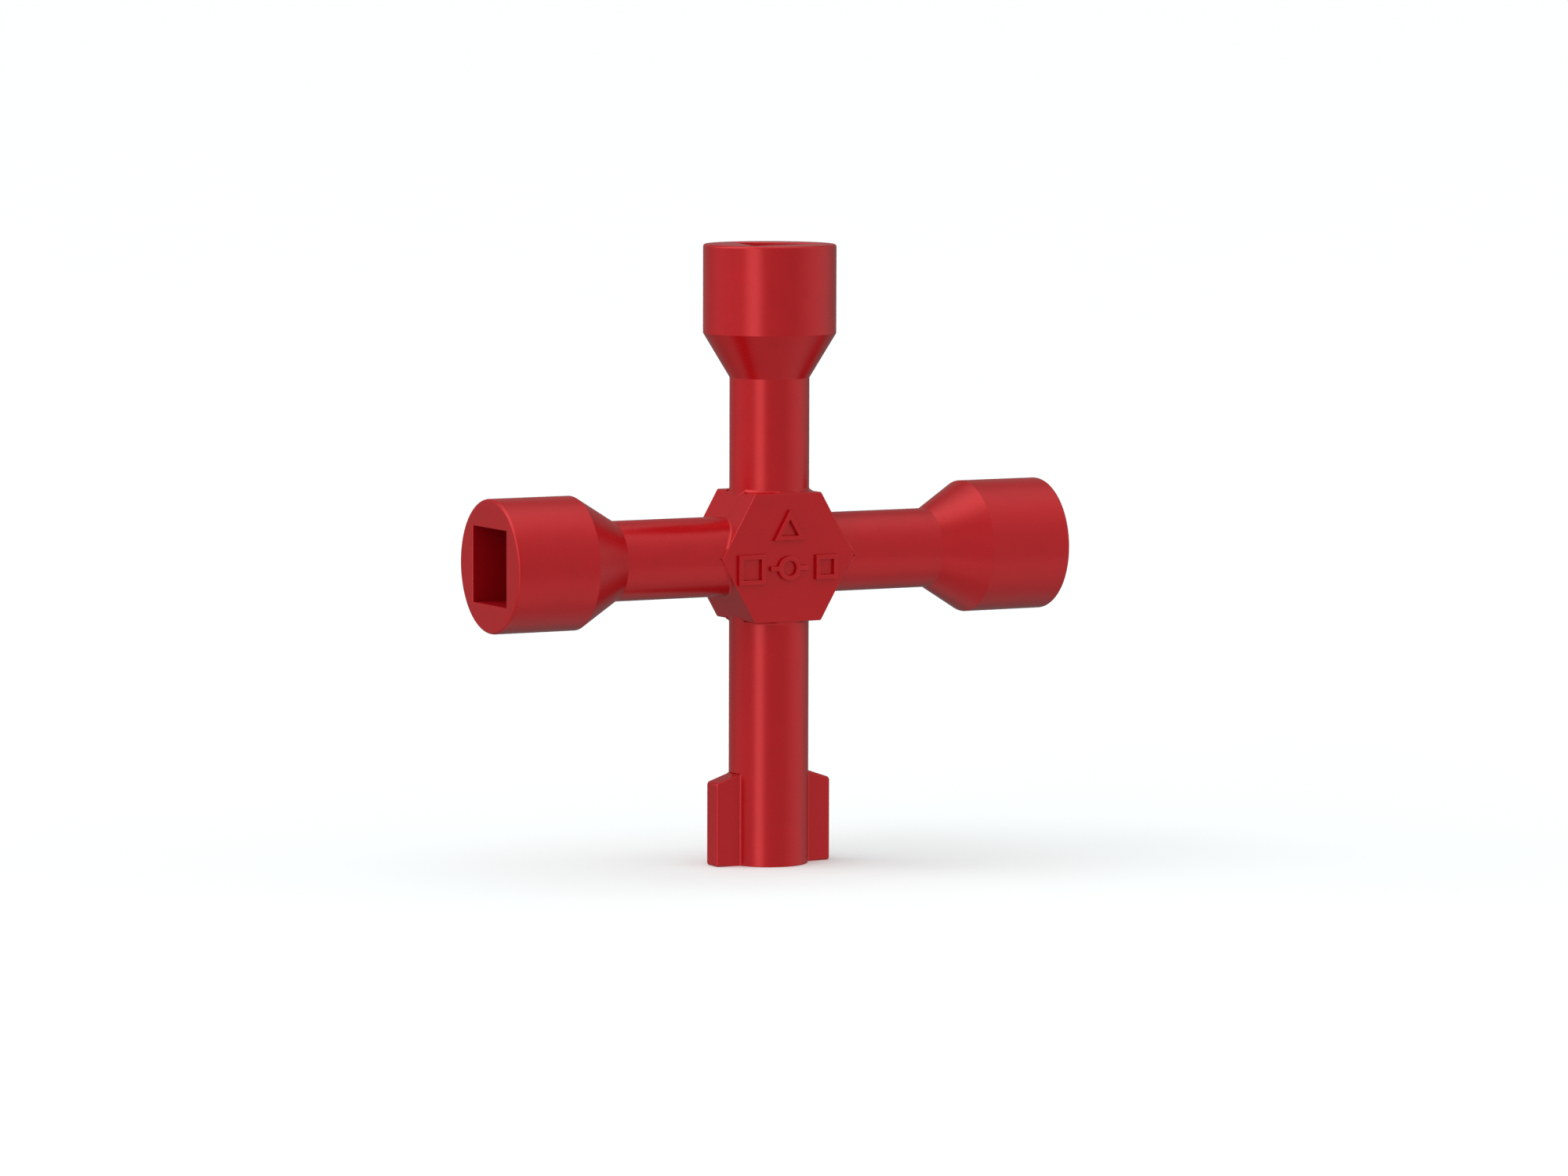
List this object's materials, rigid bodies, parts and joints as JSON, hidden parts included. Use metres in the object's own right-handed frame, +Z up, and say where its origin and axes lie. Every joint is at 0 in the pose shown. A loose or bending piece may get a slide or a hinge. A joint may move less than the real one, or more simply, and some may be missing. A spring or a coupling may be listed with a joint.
{
  "type": "four-way cabinet key",
  "caption": "Cross-shaped cabinet key: a hexagonal hub with square and three-sided socket heads on its arms and a double-bit key on the lower one.",
  "frame": {"origin": "centre of the key's foot, where the lower arm rests on the ground", "axes": "+Z up along the key shank towards the three-sided socket, +X along the arm with the small square socket, -Y out of the hub's marked face"},
  "size_m": [0.07, 0.015, 0.07],
  "materials": {
    "red_paint": "satin red metallic lacquer over steel"
  },
  "bodies": {
    "root": {"hub": "red_paint", "left_arm": "red_paint", "right_arm": "red_paint", "top_arm": "red_paint", "square_socket_head": "red_paint", "small_square_socket_head": "red_paint", "triangle_socket_head": "red_paint", "key_shank": "red_paint", "left_key_bit": "red_paint", "right_key_bit": "red_paint"}
  },
  "joints": []
}
